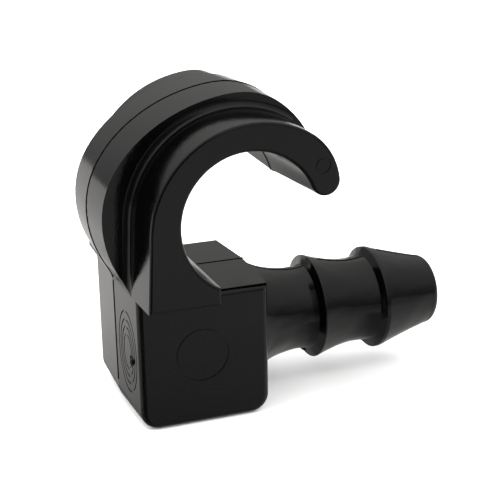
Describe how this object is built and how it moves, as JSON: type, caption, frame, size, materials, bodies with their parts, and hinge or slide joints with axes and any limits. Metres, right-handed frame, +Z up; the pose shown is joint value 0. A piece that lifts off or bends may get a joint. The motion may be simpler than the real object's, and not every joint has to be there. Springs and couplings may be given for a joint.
{
  "type": "drip emitter",
  "caption": "Clip-on drip emitter for quarter-inch micro tubing: square body, barbed hose inlet and an open hook that clips over a tube or holds its folded end.",
  "frame": {"origin": "centre of the hook's bore on the mould parting plane", "axes": "+X along the hose barb towards its tip, +Y along the hook's bore away from the plain front face, +Z up from the block to the hook"},
  "size_m": [0.0175, 0.011, 0.0152],
  "materials": {
    "black_moulding": "gloss black moulding",
    "insert_plastic": "natural acetal",
    "seal_rubber": "smooth",
    "silicone": "smooth silicone"
  },
  "bodies": {
    "housing": {"block_body": "black_moulding", "hook_clip": "black_moulding", "hose_barb": "black_moulding", "barb_seal": "seal_rubber", "inlet_strainer": "insert_plastic", "labyrinth_sleeve": "insert_plastic", "labyrinth_core": "insert_plastic", "diaphragm_seat": "insert_plastic", "outlet_bush": "black_moulding"},
    "diaphragm_disc": {"diaphragm": "silicone"}
  },
  "joints": [
    {"name": "diaphragm_flex", "type": "slide", "parent": "housing", "child": "diaphragm_disc", "axis": [-1, 0, 0], "range_m": [0, 0.0003], "stiffness_N_per_m": 20}
  ]
}
